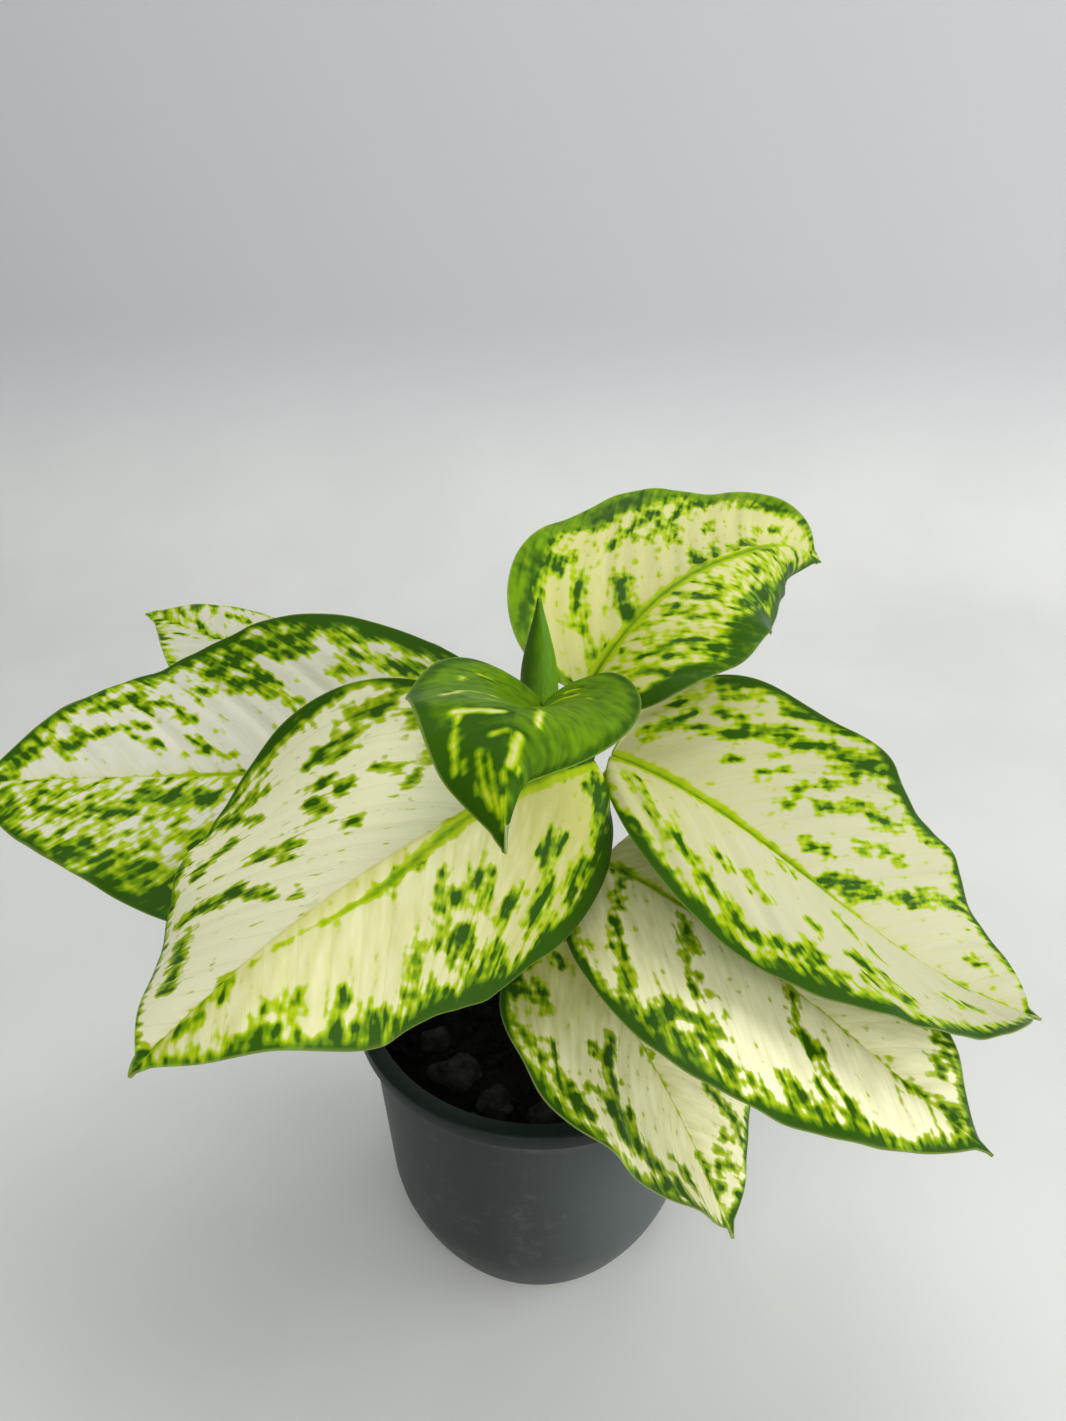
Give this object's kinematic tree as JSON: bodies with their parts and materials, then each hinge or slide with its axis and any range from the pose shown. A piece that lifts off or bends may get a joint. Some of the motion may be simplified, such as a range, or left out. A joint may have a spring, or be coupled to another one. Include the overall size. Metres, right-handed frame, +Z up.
{
  "type": "potted chinese evergreen",
  "caption": "Potted chinese evergreen: arching green and cream variegated leaves on stalks round a short stem, rooted in dark mix in a round tapering dark grey nursery pot.",
  "frame": {"origin": "middle of the pot's flat base, where it stands on the ground", "axes": "+Z up along the pot's axis, -Y towards the front of the plant as pictured, +X to its right"},
  "size_m": [0.2717, 0.1762, 0.2273],
  "materials": {
    "pot_plastic": "matte",
    "mix": "rough",
    "lump": "rough",
    "stem": "satin",
    "leaf": "satin",
    "young_leaf": "satin"
  },
  "bodies": {
    "root": {"pot": "pot_plastic", "potting_mix": "mix", "lump_1": "lump", "lump_2": "lump", "lump_3": "lump", "lump_4": "lump", "lump_5": "lump", "lump_6": "lump", "lump_7": "lump", "lump_8": "lump", "lump_9": "lump", "lump_10": "lump", "stem_and_roots": "stem", "leaf_bottom_centre": "leaf", "leaf_lower_right": "leaf", "leaf_back_left": "leaf", "leaf_left": "leaf", "leaf_right": "leaf", "leaf_front_left": "leaf", "leaf_upper_right": "leaf", "leaf_centre": "young_leaf", "leaf_new_rolled": "young_leaf"}
  },
  "joints": []
}
